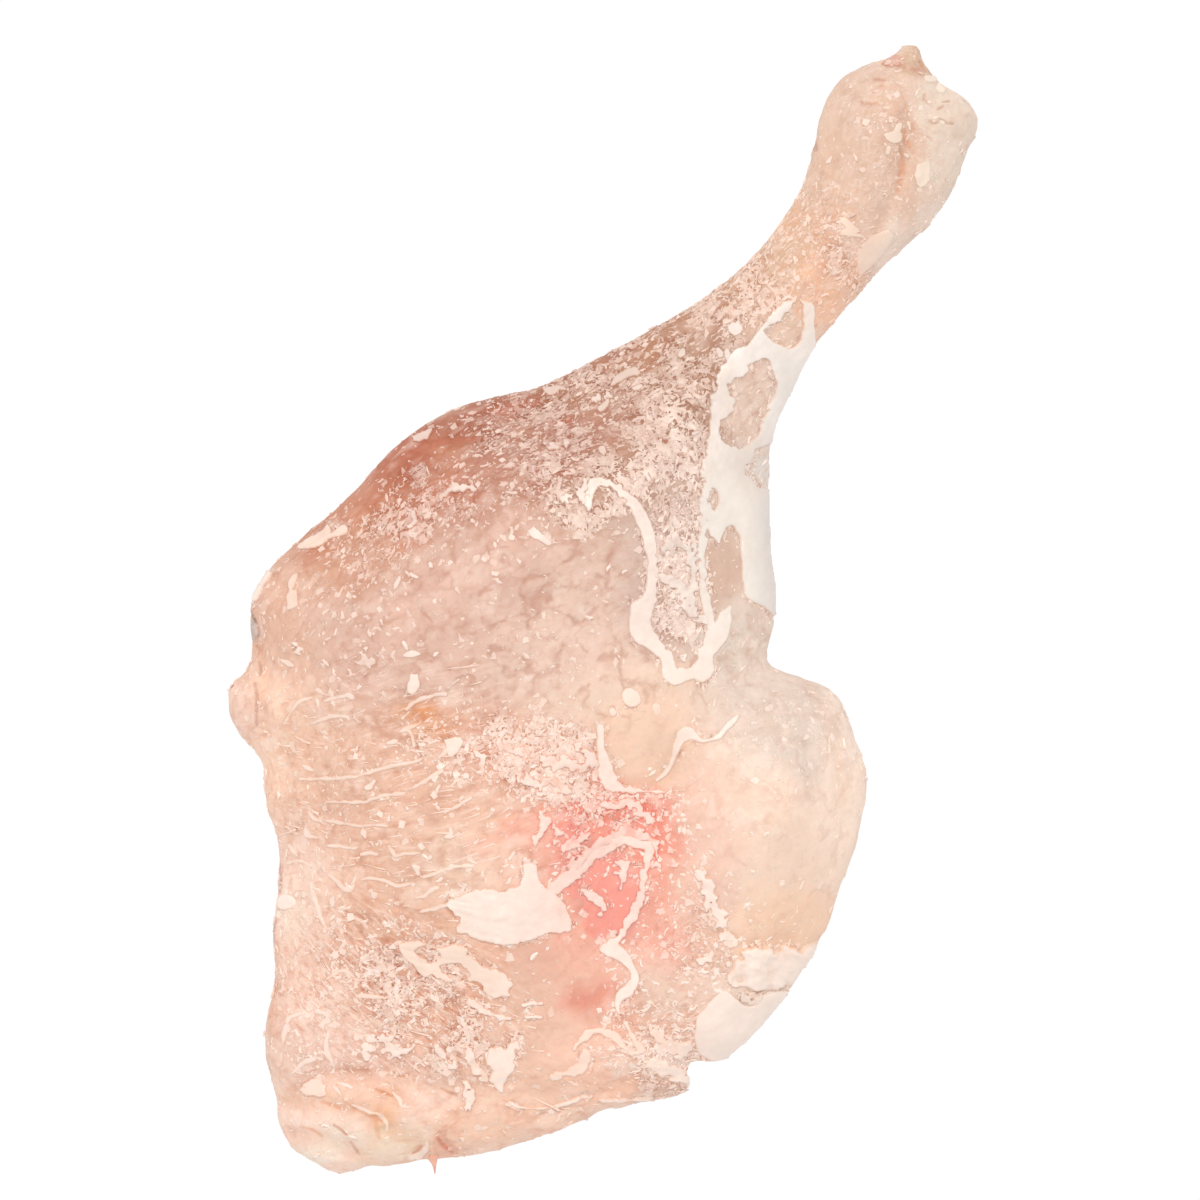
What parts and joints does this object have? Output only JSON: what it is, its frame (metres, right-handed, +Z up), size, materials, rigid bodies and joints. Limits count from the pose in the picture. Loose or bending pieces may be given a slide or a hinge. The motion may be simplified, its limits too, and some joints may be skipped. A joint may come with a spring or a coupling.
{
  "type": "raw duck leg",
  "caption": "Raw frozen duck leg, thigh and drumstick with the skin on, lying skin side up, with a fat lobe beside the thigh, a trimmed knuckle and a coat of frost.",
  "frame": {"origin": "middle of the leg's bounding box seen from above, on the surface that it lies on", "axes": "+Z up out of the skin side, +Y from the cut tail edge towards the knuckle, +X towards the fat lobe"},
  "size_m": [0.1126, 0.1702, 0.0352],
  "materials": {
    "duck_skin": "waxy raw skin, pink-beige, redder along the shin, under a thin coat of frost",
    "frost": "dull white frost film, flakes and needles"
  },
  "bodies": {
    "root": {"duck_leg": "duck_skin"}
  },
  "joints": []
}
